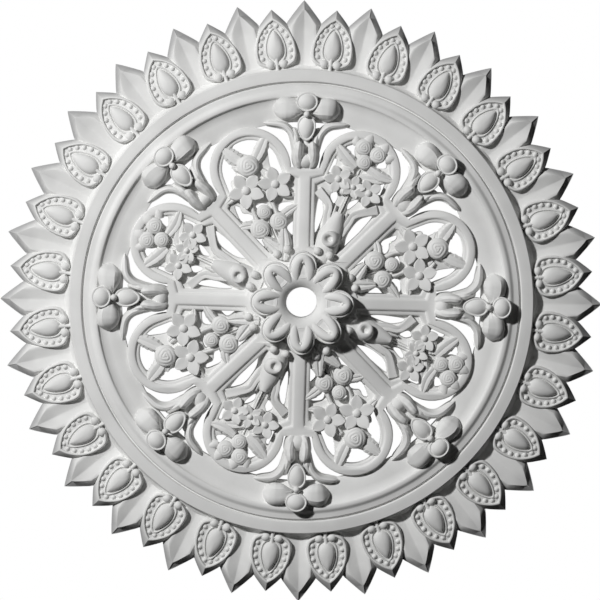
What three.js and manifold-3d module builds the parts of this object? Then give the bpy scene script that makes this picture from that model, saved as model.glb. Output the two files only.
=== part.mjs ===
import * as THREE from 'three';
import { mergeVertices } from 'three/addons/utils/BufferGeometryUtils.js';
import Module from 'manifold-3d';

// A pierced ceiling rose, moulded in one piece. Sizes are millimetres.
// It is drawn face up on its flat back, one motif at a time along +Y, and turned over at the end,
// so that the back lies against the ceiling at z = 0 and the carved face looks down.

// Driving dimensions of the whole
const OVERALL_RADIUS = 430;
const PROJECTION = 78;
const CABLE_HOLE_RADIUS = 22;
const LEAF_COUNT = 28;
const LOBE_COUNT = 8;
const TRACERY_TURN = THREE.MathUtils.degToRad(-1);
const LEAF_STEP = (2 * Math.PI) / LEAF_COUNT;
const LOBE_STEP = (2 * Math.PI) / LOBE_COUNT;

// Every motif starts this far behind the back, which is cut flat once they are joined
const SINK = 4;

// Ring between the border and the tracery: radius and height of each break in its section
const RING_SEGMENTS = 28;
const RING_INNER_RADIUS = 256;
const RING_OUTER_RADIUS = 330.5;
const BAND_HEIGHT = 26;
const RING_SECTION = [
  [RING_INNER_RADIUS, BAND_HEIGHT],
  [279, BAND_HEIGHT],
  [294, 33.6],
  [305, 26.6],
  [316, 29.4],
  [RING_OUTER_RADIUS, 27.2],
];

// Pointed darts of the border, hollowed along the middle
const DART_ROOT_RADIUS = 325;
const DART_SHOULDER_RADIUS = 398;
const DART_ROOT_HALF = 24;
const DART_SHOULDER_HALF = 24.6;
const DART_DRAFT = 7;
const DART_ROOT_DRAFT = 1;
const DART_ROOT_RISE = 1;
const DART_EDGE_HEIGHT = 12.5;
const DART_GROOVE = 4;
const DART_TIP_HEIGHT = 3;

// Egg leaves of the border, between the darts
const EGG_CENTRE_RADIUS = 366;
const EGG_TIP_RADIUS = 406;
const EGG_FOOT_RADIUS = 335.8;
const EGG_WIDE_RADIUS = 356;
const EGG_HALF_WIDTH = 28.2;
const EGG_FOOT_HALF = 12;
const EGG_TIP_REACH = 0.57;
const EGG_TIP_FALL = 7;
const EGG_SHOULDER_REACH = 20;
const EGG_FOOT_HEIGHT = 21.5;
const EGG_FALL = 0.14;
const EGG_DRAFT_SCALE = 1.5;
const EGG_DRAFT_DEPTH = 27;
const EGG_RIM_SCALE = 0.58;
const EGG_CHANNEL_DEPTH = 4;
const EGG_CROWN = 2.5;

// Tracery plate: eight round-headed openings between spokes that rise to the hub
const LOBE_CENTRE_RADIUS = 203.5;
const ARCH_OUTER_RADIUS = 58;
const ARCH_INNER_RADIUS = 40.5;
const ARCH_FOOT_ANGLE = THREE.MathUtils.degToRad(19);
const ARCH_SEGMENTS = 6;
const OPENING_SEGMENTS = 6;
const OPENING_JAMB_RADIUS = 176;
const OPENING_CORNER_RADIUS = 152;
const OPENING_END_RADIUS = 82;
const SPOKE_HALF = 15;
const CAPITAL_RADIUS = 190;
const ARCH_HEIGHT = 32;
const SPOKE_RISE = 0.17;
const BEAD_WIDTH = 6.4;
const BEAD_DROP = 4;

// Centre rosette
const HUB_SEGMENTS = 16;
const HUB_WALL_RADIUS = 54;
const HUB_CORE_RADIUS = 40;
const HUB_FUNNEL_HEIGHT = 62;
const HUB_CROWN_HEIGHT = 72;
const PETAL_TIP_RADIUS = 73.7;
const PETAL_ROOT_RADIUS = 34;
const PETAL_HALF = 19.7;
const PETAL_SIDES = 6;
const PETAL_CROWN = 9;

// Flower on the end of each spoke: centre along the spoke, half sizes and heights
const FLOWER_SIDES = 6;
const FLOWER_CROWN = 9;
const CALYX_RADIUS = 214;
const CALYX_HALF = [22, 25];
const CALYX_TOP = 45;
const BUD_RADIUS = 284;
const BUD_HALF = 14;
const BUD_TOP = 52;
const TONGUE_RADIUS = 250;
const TONGUE_HALF = [11.5, 21];
const TONGUE_TOP = 47;
const SIDE_PETAL_OFFSET = 29;
const SIDE_PETAL_RADIUS = 272;
const SIDE_PETAL_HALF = [20, 15];
const SIDE_PETAL_TILT = 0.35;
const SIDE_PETAL_TOP = 45;
const SIDE_PETAL_SIDES = 5;
const SIDE_PETAL_CROWN = 8;
const STEM_ROUTE = [
  [18, 229, 8],
  [58, 257, 8],
];
const STEM_EDGE = 33;
const STEM_RIDGE = 38;

// Flower groups that fill the openings, in turn around the rose. Each is a web with pierced holes, given
// by their corners. Roses on it are [x, y, radius], stars have a turn in degrees as well, and a stalk is
// a route of [x, y, half width].
const WEB_MARGIN = 8;
const WEB_HEIGHT = 27;
const GARDEN = [
  {
    holes: [
      [[-17, 239], [-2, 247], [16, 246], [30, 236], [8, 220], [-1, 225]],
      [[-30, 234], [-25, 227], [-22, 196], [-34, 197], [-35, 179], [-44, 179], [-44, 210]],
      [[35, 230], [45, 208], [42, 186], [33, 173], [26, 194]],
      [[-41, 162], [-34, 158], [-34, 147], [-24, 143], [-19, 134], [-40, 134]],
      [[-13, 151], [-3, 152], [7, 145], [-11, 145]],
      [[21, 143], [38, 138], [36, 129], [14, 131]],
      [[-29, 108], [-17, 102], [-22, 92]],
      [[14, 106], [28, 110], [22, 93]],
    ],
    roses: [[-2, 207, 15.5], [-18, 118, 13.5], [11, 119, 12.5], [-4, 91, 13]],
    stars: [[-17, 177, 22, 34], [25, 170, 22, 13]],
    stalks: [],
  },
  {
    holes: [
      [[-20, 238], [-19, 227], [-12, 217], [-34, 226]],
      [[25, 235], [35, 223], [17, 216]],
      [[-44, 206], [-35, 206], [-35, 185], [-43, 185]],
      [[36, 203], [44, 196], [42, 184], [32, 184]],
      [[-19, 165], [-13, 157], [-14, 145], [-26, 156]],
      [[3, 156], [14, 167], [16, 162], [6, 144]],
      [[-39, 146], [-32, 144], [-22, 128], [-21, 94], [-29, 111]],
      [[43, 154], [42, 146], [25, 92], [20, 112], [26, 140]],
    ],
    roses: [[-9, 237, 11], [14, 235, 11], [0, 218, 10], [-1, 98, 14.5]],
    stars: [[-22, 183, 17, 56], [22, 182, 17, 56]],
    stalks: [
      [[-12, 118, 5], [-36, 152, 3]],
      [[10, 118, 5], [38, 160, 3]],
    ],
  },
];
const ROSE_SIDES = 5;
const STAR_POINTS = 5;
const STAR_WAIST = 0.5;
const FLOWER_LIFT = 8;
const FLOWER_SLOPE = 0.09;
const FLOWER_RISE = 14;
const STALK_DROP = 1;
const STALK_CROWN = 4;

const COLOUR = 0xe4e4e2;
const ROUGHNESS = 0.75;

/** Height of the tracery's face at a radius: level under the arches, rising along the spokes. */
const faceHeight = (radius) => ARCH_HEIGHT + SPOKE_RISE * Math.max(0, CAPITAL_RADIUS - radius);

/** Height of an egg leaf's rim at a radius: it falls towards the tip. */
const rimHeight = (radius) => EGG_FOOT_HEIGHT - EGG_FALL * (radius - EGG_FOOT_RADIUS);

/** Points on an arc, both ends included. */
function arc(centreX, centreY, radius, start, end, segments) {
  const points = [];
  for (let i = 0; i <= segments; i += 1) {
    const angle = start + ((end - start) * i) / segments;
    points.push(new THREE.Vector2(centreX + radius * Math.cos(angle), centreY + radius * Math.sin(angle)));
  }
  return points;
}

/** Points turned about the rose's axis. */
const turnPoints = (points, angle) => points.map((p) => p.clone().rotateAround(new THREE.Vector2(), angle));

/** An oval outline about the origin, with one corner on +Y. */
function oval(halfX, halfY, sides) {
  const points = arc(0, 0, 1, Math.PI / 2, 2.5 * Math.PI, sides).slice(1);
  return points.map((p) => new THREE.Vector2(p.x * halfX, p.y * halfY));
}

/** The outline of a star flower about the origin. */
function starOutline(radius) {
  const points = [];
  for (let i = 0; i < 2 * STAR_POINTS; i += 1) {
    const reach = i % 2 === 0 ? radius : radius * STAR_WAIST;
    const angle = (i * Math.PI) / STAR_POINTS;
    points.push(new THREE.Vector2(reach * Math.cos(angle), reach * Math.sin(angle)));
  }
  return points;
}

/** Closed skin through levels of the same loops of points, capped at the first level and the last. */
function skin(levels, capFaces) {
  const loops = levels[0];
  const stride = loops.flat().length;
  const positions = levels.flat(2).flatMap((p) => [p.x, p.y, p.z]);
  const index = [];
  for (let k = 0; k + 1 < levels.length; k += 1) {
    let first = k * stride;
    for (const loop of loops) {
      for (let i = 0; i < loop.length; i += 1) {
        const a = first + i;
        const b = first + ((i + 1) % loop.length);
        index.push(a, b, b + stride, a, b + stride, a + stride);
      }
      first += loop.length;
    }
  }
  const last = (levels.length - 1) * stride;
  for (const [a, b, c] of capFaces) {
    index.push(a, c, b, last + a, last + b, last + c);
  }
  const geometry = new THREE.BufferGeometry();
  geometry.setAttribute('position', new THREE.Float32BufferAttribute(positions, 3));
  geometry.setIndex(index);
  return geometry;
}

/** A raised form on the back: an outline carried up through [scale, height] levels, scale 0 for a point. */
function boss(outline, levels) {
  const rings = [[1, -SINK], ...levels].map(([scale, height]) =>
    [outline.map((p) => new THREE.Vector3(p.x * scale, p.y * scale, height))]);
  return skin(rings, THREE.ShapeUtils.triangulateShape(outline, []));
}

/** A raised form with upright sides and a pointed top. */
const dome = (outline, top, crown) => boss(outline, [[1, top - crown], [0, top]]);

/** A bar on the back along a route of [x, y, half width, edge height, ridge height, half base]. */
function bar(stations) {
  const rings = stations.map(([x, y, half, edge, ridge, base], i) => {
    const before = stations[Math.max(0, i - 1)];
    const after = stations[Math.min(stations.length - 1, i + 1)];
    const way = new THREE.Vector2(after[0] - before[0], after[1] - before[1]).normalize();
    const point = (side, height) => new THREE.Vector3(x - way.y * side, y + way.x * side, height);
    const foot = half + (base - half) * (1 + SINK / edge);
    const right = [point(-half, edge), point(-foot, -SINK)];
    return [[point(foot, -SINK), point(half, edge), point(0, ridge), ...right]];
  });
  return skin(rings, [[2, 3, 4], [2, 4, 0], [2, 0, 1]]);
}

/** The moulded ring with its flat band. */
function ring() {
  const back = [[RING_INNER_RADIUS, -SINK], [RING_OUTER_RADIUS, -SINK]];
  const section = [...back, ...RING_SECTION.slice().reverse()];
  const points = [...section, section[0]].map(([radius, height]) => new THREE.Vector2(radius, height));
  return new THREE.LatheGeometry(points, RING_SEGMENTS).rotateX(Math.PI / 2);
}

/** One dart of the border. */
function dart() {
  const station = (radius, base, draft, edge) => [0, radius, base - draft, edge, edge - DART_GROOVE, base];
  return bar([
    station(DART_ROOT_RADIUS, DART_ROOT_HALF, DART_ROOT_DRAFT, DART_EDGE_HEIGHT + DART_ROOT_RISE),
    station(DART_SHOULDER_RADIUS, DART_SHOULDER_HALF, DART_DRAFT, DART_EDGE_HEIGHT),
    [0, OVERALL_RADIUS, 0, DART_TIP_HEIGHT, DART_TIP_HEIGHT, 0],
  ]);
}

/** Half of an egg leaf's outline, from its tip to its foot. */
function eggHalfOutline() {
  const side = new THREE.CubicBezierCurve(
    new THREE.Vector2(0, EGG_TIP_RADIUS),
    new THREE.Vector2(EGG_HALF_WIDTH * EGG_TIP_REACH, EGG_TIP_RADIUS - EGG_TIP_FALL),
    new THREE.Vector2(EGG_HALF_WIDTH, EGG_WIDE_RADIUS + EGG_SHOULDER_REACH),
    new THREE.Vector2(EGG_HALF_WIDTH, EGG_WIDE_RADIUS),
  );
  return [...side.getPoints(2), new THREE.Vector2(EGG_FOOT_HALF, EGG_FOOT_RADIUS)];
}

/** One egg leaf of the border: a raised rim and a sunk channel around an egg. */
function eggLeaf() {
  const half = eggHalfOutline();
  const mirrored = half.slice(1).map((p) => new THREE.Vector2(-p.x, p.y));
  const outline = [...mirrored, ...half.slice().reverse()];
  const ringAt = (scale, height) => [outline.map((p) => {
    const y = EGG_CENTRE_RADIUS + (p.y - EGG_CENTRE_RADIUS) * scale;
    return new THREE.Vector3(p.x * scale, y, height(y));
  })];
  const rings = [
    ringAt(EGG_DRAFT_SCALE, (y) => rimHeight(y) - EGG_DRAFT_DEPTH),
    ringAt(1, rimHeight),
    ringAt(EGG_RIM_SCALE, (y) => rimHeight(y) - EGG_CHANNEL_DEPTH),
    ringAt(0, (y) => rimHeight(y) + EGG_CROWN),
  ];
  return skin(rings, THREE.ShapeUtils.triangulateShape(outline, []));
}

/** Outline of one opening about a lobe's axis, widened by a margin. */
function openingOutline(margin) {
  const radius = ARCH_INNER_RADIUS + margin;
  const spoke = SPOKE_HALF - margin;
  const half = LOBE_STEP / 2;
  const spokeEdge = (y) => (y - spoke * Math.sin(half)) * Math.tan(half) - spoke * Math.cos(half);
  const end = OPENING_END_RADIUS - margin;
  const right = [
    new THREE.Vector2(spokeEdge(end), end),
    new THREE.Vector2(spokeEdge(OPENING_CORNER_RADIUS), OPENING_CORNER_RADIUS),
    new THREE.Vector2(radius, OPENING_JAMB_RADIUS),
  ];
  const left = right.map((p) => new THREE.Vector2(-p.x, p.y)).reverse();
  return [...right, ...arc(0, LOBE_CENTRE_RADIUS, radius, 0, Math.PI, OPENING_SEGMENTS), ...left];
}

/** Outlines of the plate of arches and spokes: its edge, then its openings, drawn in by a margin. */
function traceryLoops(margin) {
  const edge = [];
  const openings = [];
  for (let k = 0; k < LOBE_COUNT; k += 1) {
    const angle = (k + 0.5) * LOBE_STEP + TRACERY_TURN;
    const foot = ARCH_FOOT_ANGLE;
    const arch = arc(0, LOBE_CENTRE_RADIUS, ARCH_OUTER_RADIUS, -foot, Math.PI + foot, ARCH_SEGMENTS);
    edge.push(...turnPoints(arch, angle));
    openings.push(turnPoints(openingOutline(margin), angle).reverse());
  }
  const middle = arc(0, 0, HUB_CORE_RADIUS, 2 * Math.PI, 0, LOBE_COUNT).slice(1);
  return [edge, middle, ...openings];
}

/** The plate of arches and spokes, with sloping margins. The hub closes its middle. */
function tracery() {
  const [edge, ...inside] = traceryLoops(0);
  const levelAt = (margin, height) => traceryLoops(margin).map((loop) =>
    loop.map((p) => new THREE.Vector3(p.x, p.y, height(p.length()))));
  const levels = [
    levelAt(0, () => -SINK),
    levelAt(0, (radius) => faceHeight(radius) - BEAD_DROP),
    levelAt(BEAD_WIDTH, faceHeight),
  ];
  return skin(levels, THREE.ShapeUtils.triangulateShape(edge, inside));
}

/** The turned body of the hub, with the cable hole and its funnel. */
function hub() {
  const section = [
    [CABLE_HOLE_RADIUS, -SINK],
    [HUB_WALL_RADIUS, -SINK],
    [HUB_WALL_RADIUS, HUB_CROWN_HEIGHT],
    [CABLE_HOLE_RADIUS, HUB_FUNNEL_HEIGHT],
    [CABLE_HOLE_RADIUS, -SINK],
  ];
  const points = section.map(([radius, height]) => new THREE.Vector2(radius, height));
  return new THREE.LatheGeometry(points, HUB_SEGMENTS).rotateX(Math.PI / 2);
}

/** One petal of the rosette, over a spoke. */
function hubPetal() {
  const middle = (PETAL_TIP_RADIUS + PETAL_ROOT_RADIUS) / 2;
  const reach = (PETAL_TIP_RADIUS - PETAL_ROOT_RADIUS) / 2;
  return dome(oval(PETAL_HALF, reach, PETAL_SIDES), PROJECTION, PETAL_CROWN).translate(0, middle, 0);
}

/** The flower on the end of one spoke, with its calyx and stems. */
function spokeFlower() {
  const solids = [
    dome(oval(BUD_HALF, BUD_HALF, FLOWER_SIDES), BUD_TOP, FLOWER_CROWN).translate(0, BUD_RADIUS, 0),
    dome(oval(...TONGUE_HALF, FLOWER_SIDES), TONGUE_TOP, FLOWER_CROWN).translate(0, TONGUE_RADIUS, 0),
    dome(oval(...CALYX_HALF, FLOWER_SIDES), CALYX_TOP, FLOWER_CROWN).translate(0, CALYX_RADIUS, 0),
  ];
  for (const side of [-1, 1]) {
    solids.push(
      dome(oval(...SIDE_PETAL_HALF, SIDE_PETAL_SIDES), SIDE_PETAL_TOP, SIDE_PETAL_CROWN)
        .rotateZ(-side * SIDE_PETAL_TILT)
        .translate(side * SIDE_PETAL_OFFSET, SIDE_PETAL_RADIUS, 0),
      bar(STEM_ROUTE.map(([x, y, half]) => [side * x, y, half, STEM_EDGE, STEM_RIDGE, half])),
    );
  }
  return solids;
}

/** The pierced web that fills one opening. */
function web(holes) {
  const loops = [openingOutline(WEB_MARGIN)];
  for (const corners of holes) {
    const loop = corners.map(([x, y]) => new THREE.Vector2(x, y));
    loops.push(THREE.ShapeUtils.isClockWise(loop) ? loop : loop.reverse());
  }
  const levelAt = (height) => loops.map((loop) => loop.map((p) => new THREE.Vector3(p.x, p.y, height)));
  const faces = THREE.ShapeUtils.triangulateShape(loops[0], loops.slice(1));
  return skin([levelAt(-SINK), levelAt(WEB_HEIGHT)], faces);
}

/** Height of a flower's top: it follows the arches and rises a little towards the hub. */
function flowerTop(x, y, lift) {
  const inward = Math.max(0, CAPITAL_RADIUS - Math.hypot(x, y));
  return ARCH_HEIGHT + lift + FLOWER_SLOPE * inward;
}

/** The web, flowers and stalks that fill one opening. */
function flowerGroup({ holes, roses, stars, stalks }) {
  const solids = [web(holes)];
  for (const [x, y, radius] of roses) {
    const outline = oval(radius, radius, ROSE_SIDES);
    solids.push(dome(outline, flowerTop(x, y, FLOWER_LIFT), FLOWER_RISE).translate(x, y, 0));
  }
  for (const [x, y, radius, turn] of stars) {
    const star = dome(starOutline(radius), flowerTop(x, y, FLOWER_LIFT), FLOWER_RISE);
    solids.push(star.rotateZ(THREE.MathUtils.degToRad(turn)).translate(x, y, 0));
  }
  for (const route of stalks) {
    solids.push(bar(route.map(([x, y, half]) => {
      const ridge = flowerTop(x, y, -STALK_DROP);
      return [x, y, half, ridge - STALK_CROWN, ridge, half];
    })));
  }
  return solids;
}

const wasm = await Module();
wasm.setup();

/** A closed geometry as a solid for joining and cutting. */
function toSolid(geometry) {
  const bare = geometry.clone();
  bare.deleteAttribute('normal');
  bare.deleteAttribute('uv');
  const welded = mergeVertices(bare);
  const corners = welded.getIndex().array;
  const faces = [];
  for (let i = 0; i < corners.length; i += 3) {
    const face = [...corners.slice(i, i + 3)];
    if (new Set(face).size === face.length) {
      faces.push(...face);
    }
  }
  return new wasm.Manifold(new wasm.Mesh({
    numProp: 3,
    vertProperties: Float32Array.from(welded.getAttribute('position').array),
    triVerts: Uint32Array.from(faces),
  }));
}

/** A solid's surface as a geometry with a flat normal on each face. */
function toGeometry(solid) {
  const mesh = solid.getMesh();
  const geometry = new THREE.BufferGeometry();
  geometry.setAttribute('position', new THREE.BufferAttribute(mesh.vertProperties, 3));
  geometry.setIndex(new THREE.BufferAttribute(mesh.triVerts, 1));
  const faceted = geometry.toNonIndexed();
  faceted.computeVertexNormals();
  return faceted;
}

/** Every motif of the rose in its place. */
function motifs() {
  const solids = [ring(), tracery(), hub()];
  for (let k = 0; k < LEAF_COUNT; k += 1) {
    solids.push(dart().rotateZ(k * LEAF_STEP));
    solids.push(eggLeaf().rotateZ((k + 0.5) * LEAF_STEP));
  }
  for (let k = 0; k < LOBE_COUNT; k += 1) {
    const spoke = k * LOBE_STEP + TRACERY_TURN;
    const garden = GARDEN[k % GARDEN.length];
    solids.push(hubPetal().rotateZ(spoke));
    solids.push(...spokeFlower().map((solid) => solid.rotateZ(spoke)));
    solids.push(...flowerGroup(garden).map((solid) => solid.rotateZ(spoke + LOBE_STEP / 2)));
  }
  return solids;
}

const span = 3 * OVERALL_RADIUS;
const ceiling = new THREE.BoxGeometry(span, span, OVERALL_RADIUS).translate(0, 0, -OVERALL_RADIUS / 2);
const whole = wasm.Manifold.union(motifs().map(toSolid)).subtract(toSolid(ceiling));
const material = new THREE.MeshStandardMaterial({ color: COLOUR, roughness: ROUGHNESS, metalness: 0 });
const rose = new THREE.Mesh(toGeometry(whole), material);
rose.name = 'ceiling_rose';
rose.rotation.y = Math.PI;

const group = new THREE.Group();
group.add(rose);

export default group;
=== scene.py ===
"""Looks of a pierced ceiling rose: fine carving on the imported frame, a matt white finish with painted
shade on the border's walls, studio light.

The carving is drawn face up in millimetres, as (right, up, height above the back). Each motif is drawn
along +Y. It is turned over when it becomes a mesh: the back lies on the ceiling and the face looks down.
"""

import logging
import math
from collections.abc import Iterable, Sequence
from dataclasses import dataclass, field
from enum import Enum

import bpy
import numpy as np
from mathutils import Matrix, Vector
from mathutils.geometry import tessellate_polygon


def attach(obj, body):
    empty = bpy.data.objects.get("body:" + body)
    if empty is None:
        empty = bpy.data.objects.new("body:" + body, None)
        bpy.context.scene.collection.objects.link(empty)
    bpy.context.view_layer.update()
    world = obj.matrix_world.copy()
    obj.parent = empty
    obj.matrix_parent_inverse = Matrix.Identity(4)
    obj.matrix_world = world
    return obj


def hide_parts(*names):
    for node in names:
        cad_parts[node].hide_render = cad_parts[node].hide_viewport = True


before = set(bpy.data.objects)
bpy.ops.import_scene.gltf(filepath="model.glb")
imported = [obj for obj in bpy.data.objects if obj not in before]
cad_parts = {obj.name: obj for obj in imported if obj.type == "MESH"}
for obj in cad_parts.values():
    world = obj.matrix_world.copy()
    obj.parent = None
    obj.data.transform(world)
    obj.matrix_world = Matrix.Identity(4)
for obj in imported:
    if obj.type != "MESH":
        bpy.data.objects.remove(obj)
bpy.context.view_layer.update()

LOG = logging.getLogger("ceiling_rose")
MM = 0.001
NODE = "ceiling_rose"
BODY = "root"

LEAF_COUNT = 28
LOBE_COUNT = 8
LEAF_STEP = 2 * math.pi / LEAF_COUNT
LOBE_STEP = 2 * math.pi / LOBE_COUNT
TRACERY_TURN = math.radians(-1)
OVERALL_RADIUS = 430.0

SHARP_ANGLE = math.radians(38)
CURVE_STEPS = 12
CORNER_CUT = 0.2
CORNER_PASSES = 2
BLOB_FOOT = math.radians(-40)
BLOB_TOP = math.radians(88)
TINY = 1e-12

Pair = tuple[float, float]
Triple = tuple[float, float, float]
Pairs = tuple[Pair, ...]
Floats = tuple[float, ...]
Values = float | np.ndarray
Material = bpy.types.Material
Tree = bpy.types.NodeTree
Socket = bpy.types.NodeSocket
Inputs = dict[str | int, Socket | float | Floats]


def mirrored(half: Pairs) -> Pairs:
    """Completes an even form from its left half and its middle."""
    return half + tuple((-x, height) for x, height in half[-2::-1])


class Section(Enum):
    """Cross-sections of a ridge, as (share of the half width, share of the height)."""

    ROUND = mirrored(((-1, 0), (-1, 0.5), (-0.82, 0.8), (-0.45, 0.96), (0, 1)))
    CUPPED = mirrored(((-1, 0), (-1, 0.9), (-0.84, 0.98), (-0.45, 0.99), (0, 0.95)))
    RIBBED = mirrored(((-1, 0), (-1, 0.7), (-0.66, 0.84), (-0.2, 0.8), (0, 1)))
    FOLDED = mirrored(((-1, 0), (-1, 0.72), (-0.6, 0.95), (-0.25, 0.96), (0, 0.91)))
    PLEATED = (
        *((-1, 0), (-1, 0.66), (-0.94, 0.8), (-0.78, 0.9), (-0.5, 0.96), (-0.2, 0.98), (-0.1, 0.975)),
        *((0.1, 1), (0.4, 0.975), (0.5, 0.98), (0.76, 0.9), (0.94, 0.8), (1, 0.66), (1, 0)),
    )


class RoseKind(Enum):
    """The two ways in which a round flower is carved."""

    BUD = "bud"
    TUBE = "tube"


def around(count: int) -> np.ndarray:
    """Steps evenly round a full turn."""
    return np.linspace(0, 2 * math.pi, count, endpoint=False)


def arc(radius: float, angles: np.ndarray) -> np.ndarray:
    """Draws plane points at one radius, by their angles."""
    return radius * np.stack([np.cos(angles), np.sin(angles)], axis=1)


def turning(angle: float) -> np.ndarray:
    """Makes the matrix that turns rows of plane points anticlockwise, as seen from the face."""
    cosine, sine = math.cos(angle), math.sin(angle)
    return np.array([[cosine, sine], [-sine, cosine]])


def raised(plan: np.ndarray, height: Values) -> np.ndarray:
    """Puts plane points at one height, or at a height each."""
    return np.column_stack([plan, np.broadcast_to(height, len(plan))])


def scaled(plan: np.ndarray, centre: Pair, share: float) -> np.ndarray:
    """Scales plane points about a centre."""
    return (plan - centre) * share + centre


@dataclass
class Shell:
    """A surface in millimetres: points, and faces with four and with three corners."""

    points: np.ndarray
    quads: np.ndarray
    tris: np.ndarray

    def volume(self) -> float:
        """Finds the signed volume.

        Returns:
            The volume, negative where the faces look inwards.
        """
        faces = np.concatenate([self.quads[:, [0, 1, 2]], self.quads[:, [0, 2, 3]], self.tris])
        first, second, third = (self.points[faces[:, corner]] for corner in range(3))
        return float(np.sum(first * np.cross(second, third)) / 6)

    def moved(self, turn: float = 0.0, shift: Triple = (0, 0, 0)) -> "Shell":
        """Shifts the shell, then turns it about the rose's axis, anticlockwise as seen from the face."""
        plan = (self.points[:, :2] + shift[:2]) @ turning(turn)
        return Shell(raised(plan, self.points[:, 2] + shift[2]), self.quads, self.tris)


def join(shells: Iterable[Shell]) -> Shell:
    """Puts shells together as one.

    Args:
        shells: The shells.

    Returns:
        One shell that holds them all.
    """
    points, quads, tris, count = [], [], [], 0
    for shell in shells:
        points.append(shell.points)
        quads.append(shell.quads + count)
        tris.append(shell.tris + count)
        count += len(shell.points)
    return Shell(np.concatenate(points), np.concatenate(quads), np.concatenate(tris))


def loft(rings: Sequence[np.ndarray], wrap: bool = False) -> Shell:
    """Skins closed rings of points.

    Args:
        rings: Rings with the same number of points.
        wrap: True if the last ring joins the first, False if both ends are capped.

    Returns:
        The closed shell.
    """
    stack = np.asarray(rings, float)
    levels, count = stack.shape[:2]
    here = np.arange(count)
    after = (here + 1) % count
    quads = []
    for level in range(levels if wrap else levels - 1):
        low, high = level * count, ((level + 1) % levels) * count
        quads.append(np.stack([low + here, low + after, high + after, high + here], axis=1))
    points = stack.reshape(-1, 3)
    tris = np.zeros((0, 3), int)
    if not wrap:
        points = np.vstack([points, stack[0].mean(0), stack[-1].mean(0)])
        top = (levels - 1) * count
        bottom_centre = np.full(count, levels * count)
        under = np.stack([bottom_centre, after, here], axis=1)
        over = np.stack([bottom_centre + 1, top + here, top + after], axis=1)
        tris = np.concatenate([under, over])
    shell = Shell(points, np.concatenate(quads), tris)
    if shell.volume() >= 0:
        return shell
    return Shell(points, shell.quads[:, ::-1], tris[:, ::-1])


def lathe(profile: Sequence[Pair], segments: int, wrap: bool = False) -> Shell:
    """Turns a profile of (radius, height) about the rose's axis, closed on itself or capped."""
    angles = around(segments)
    return loft([raised(arc(radius, angles), height) for radius, height in profile], wrap)


def curve(points: Sequence[Pair], count: int, closed: bool = False) -> np.ndarray:
    """Draws a smooth curve through points, evenly stepped.

    Args:
        points: Points that the curve passes through.
        count: Number of points to return.
        closed: True for a closed curve.

    Returns:
        The points of the curve.
    """
    given = np.asarray(points, float)
    if closed:
        padded = np.vstack([given[-1], given, given[0], given[1]])
    else:
        padded = np.vstack([2 * given[0] - given[1], given, 2 * given[-1] - given[-2]])
    steps = np.linspace(0, 1, CURVE_STEPS, endpoint=False)[:, None]
    pieces = []
    for before, start, end, beyond in zip(padded, padded[1:], padded[2:], padded[3:]):
        linear = (end - before) * steps
        square = (2 * before - 5 * start + 4 * end - beyond) * steps**2
        cube = (3 * start - before - 3 * end + beyond) * steps**3
        pieces.append(start + (linear + square + cube) / 2)
    dense = np.vstack([*pieces, given[:1] if closed else given[-1:]])
    length = np.concatenate([[0], np.cumsum(np.linalg.norm(np.diff(dense, axis=0), axis=1))])
    wanted = np.linspace(0, length[-1], count, endpoint=not closed)
    return np.stack([np.interp(wanted, length, dense[:, axis]) for axis in range(dense.shape[1])], axis=1)


def normals(loop: np.ndarray, closed: bool = True) -> np.ndarray:
    """Finds the normals of a plane curve, to the right of its direction.

    Args:
        loop: Points of the curve.
        closed: True for a closed curve.

    Returns:
        One unit normal for each point.
    """
    if closed:
        way = np.roll(loop, -1, axis=0) - np.roll(loop, 1, axis=0)
    else:
        way = np.gradient(loop, axis=0)
    way /= np.linalg.norm(way, axis=1, keepdims=True) + TINY
    return np.stack([way[:, 1], -way[:, 0]], axis=1)


def rounded(corners: Sequence[Pair]) -> np.ndarray:
    """Cuts the corners of a polygon until it is round.

    Args:
        corners: Corners of the polygon.

    Returns:
        The points of the rounded polygon, anticlockwise.
    """
    loop = np.asarray(corners, float)
    after = np.roll(loop, -1, axis=0)
    if np.sum(loop[:, 0] * after[:, 1] - loop[:, 1] * after[:, 0]) < 0:
        loop = loop[::-1]
    for _ in range(CORNER_PASSES):
        step = CORNER_CUT * (np.roll(loop, -1, axis=0) - loop)
        loop = np.stack([loop + step, np.roll(loop, -1, axis=0) - step], axis=1).reshape(-1, 2)
    return loop


def blob(centre: Triple, half: Triple, segments: int, rings: int) -> Shell:
    """Makes the visible part of an ellipsoid, such as a bead.

    Args:
        centre: Middle of the ellipsoid.
        half: Half sizes across, along and in height.
        segments: Number of points around.
        rings: Number of rings from its foot to its top.

    Returns:
        The closed shell.
    """
    angles = around(segments)
    stack = []
    for level in np.linspace(BLOB_FOOT, BLOB_TOP, rings):
        plan = arc(math.cos(level), angles) * half[:2]
        stack.append(raised(plan, half[2] * math.sin(level)) + centre)
    return loft(stack)


def ridge(
    route: np.ndarray, half: np.ndarray, foot: Values, crest: np.ndarray, section: Section = Section.ROUND
) -> Shell:
    """Sweeps a cross-section along a route.

    Args:
        route: Points of the route in the plane of the rose.
        half: Half width at each point.
        foot: Height of the foot, in all or at each point.
        crest: Height of the top at each point.
        section: The cross-section.

    Returns:
        The closed shell.
    """
    shape = np.asarray(section.value, float)
    base = np.broadcast_to(foot, len(route))
    side = normals(route, closed=False)
    plan = route[:, None, :] + side[:, None, :] * (half[:, None] * shape[None, :, 0])[..., None]
    height = base[:, None] + (crest - base)[:, None] * shape[None, :, 1]
    return loft(np.concatenate([plan, height[..., None]], axis=2))


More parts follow.
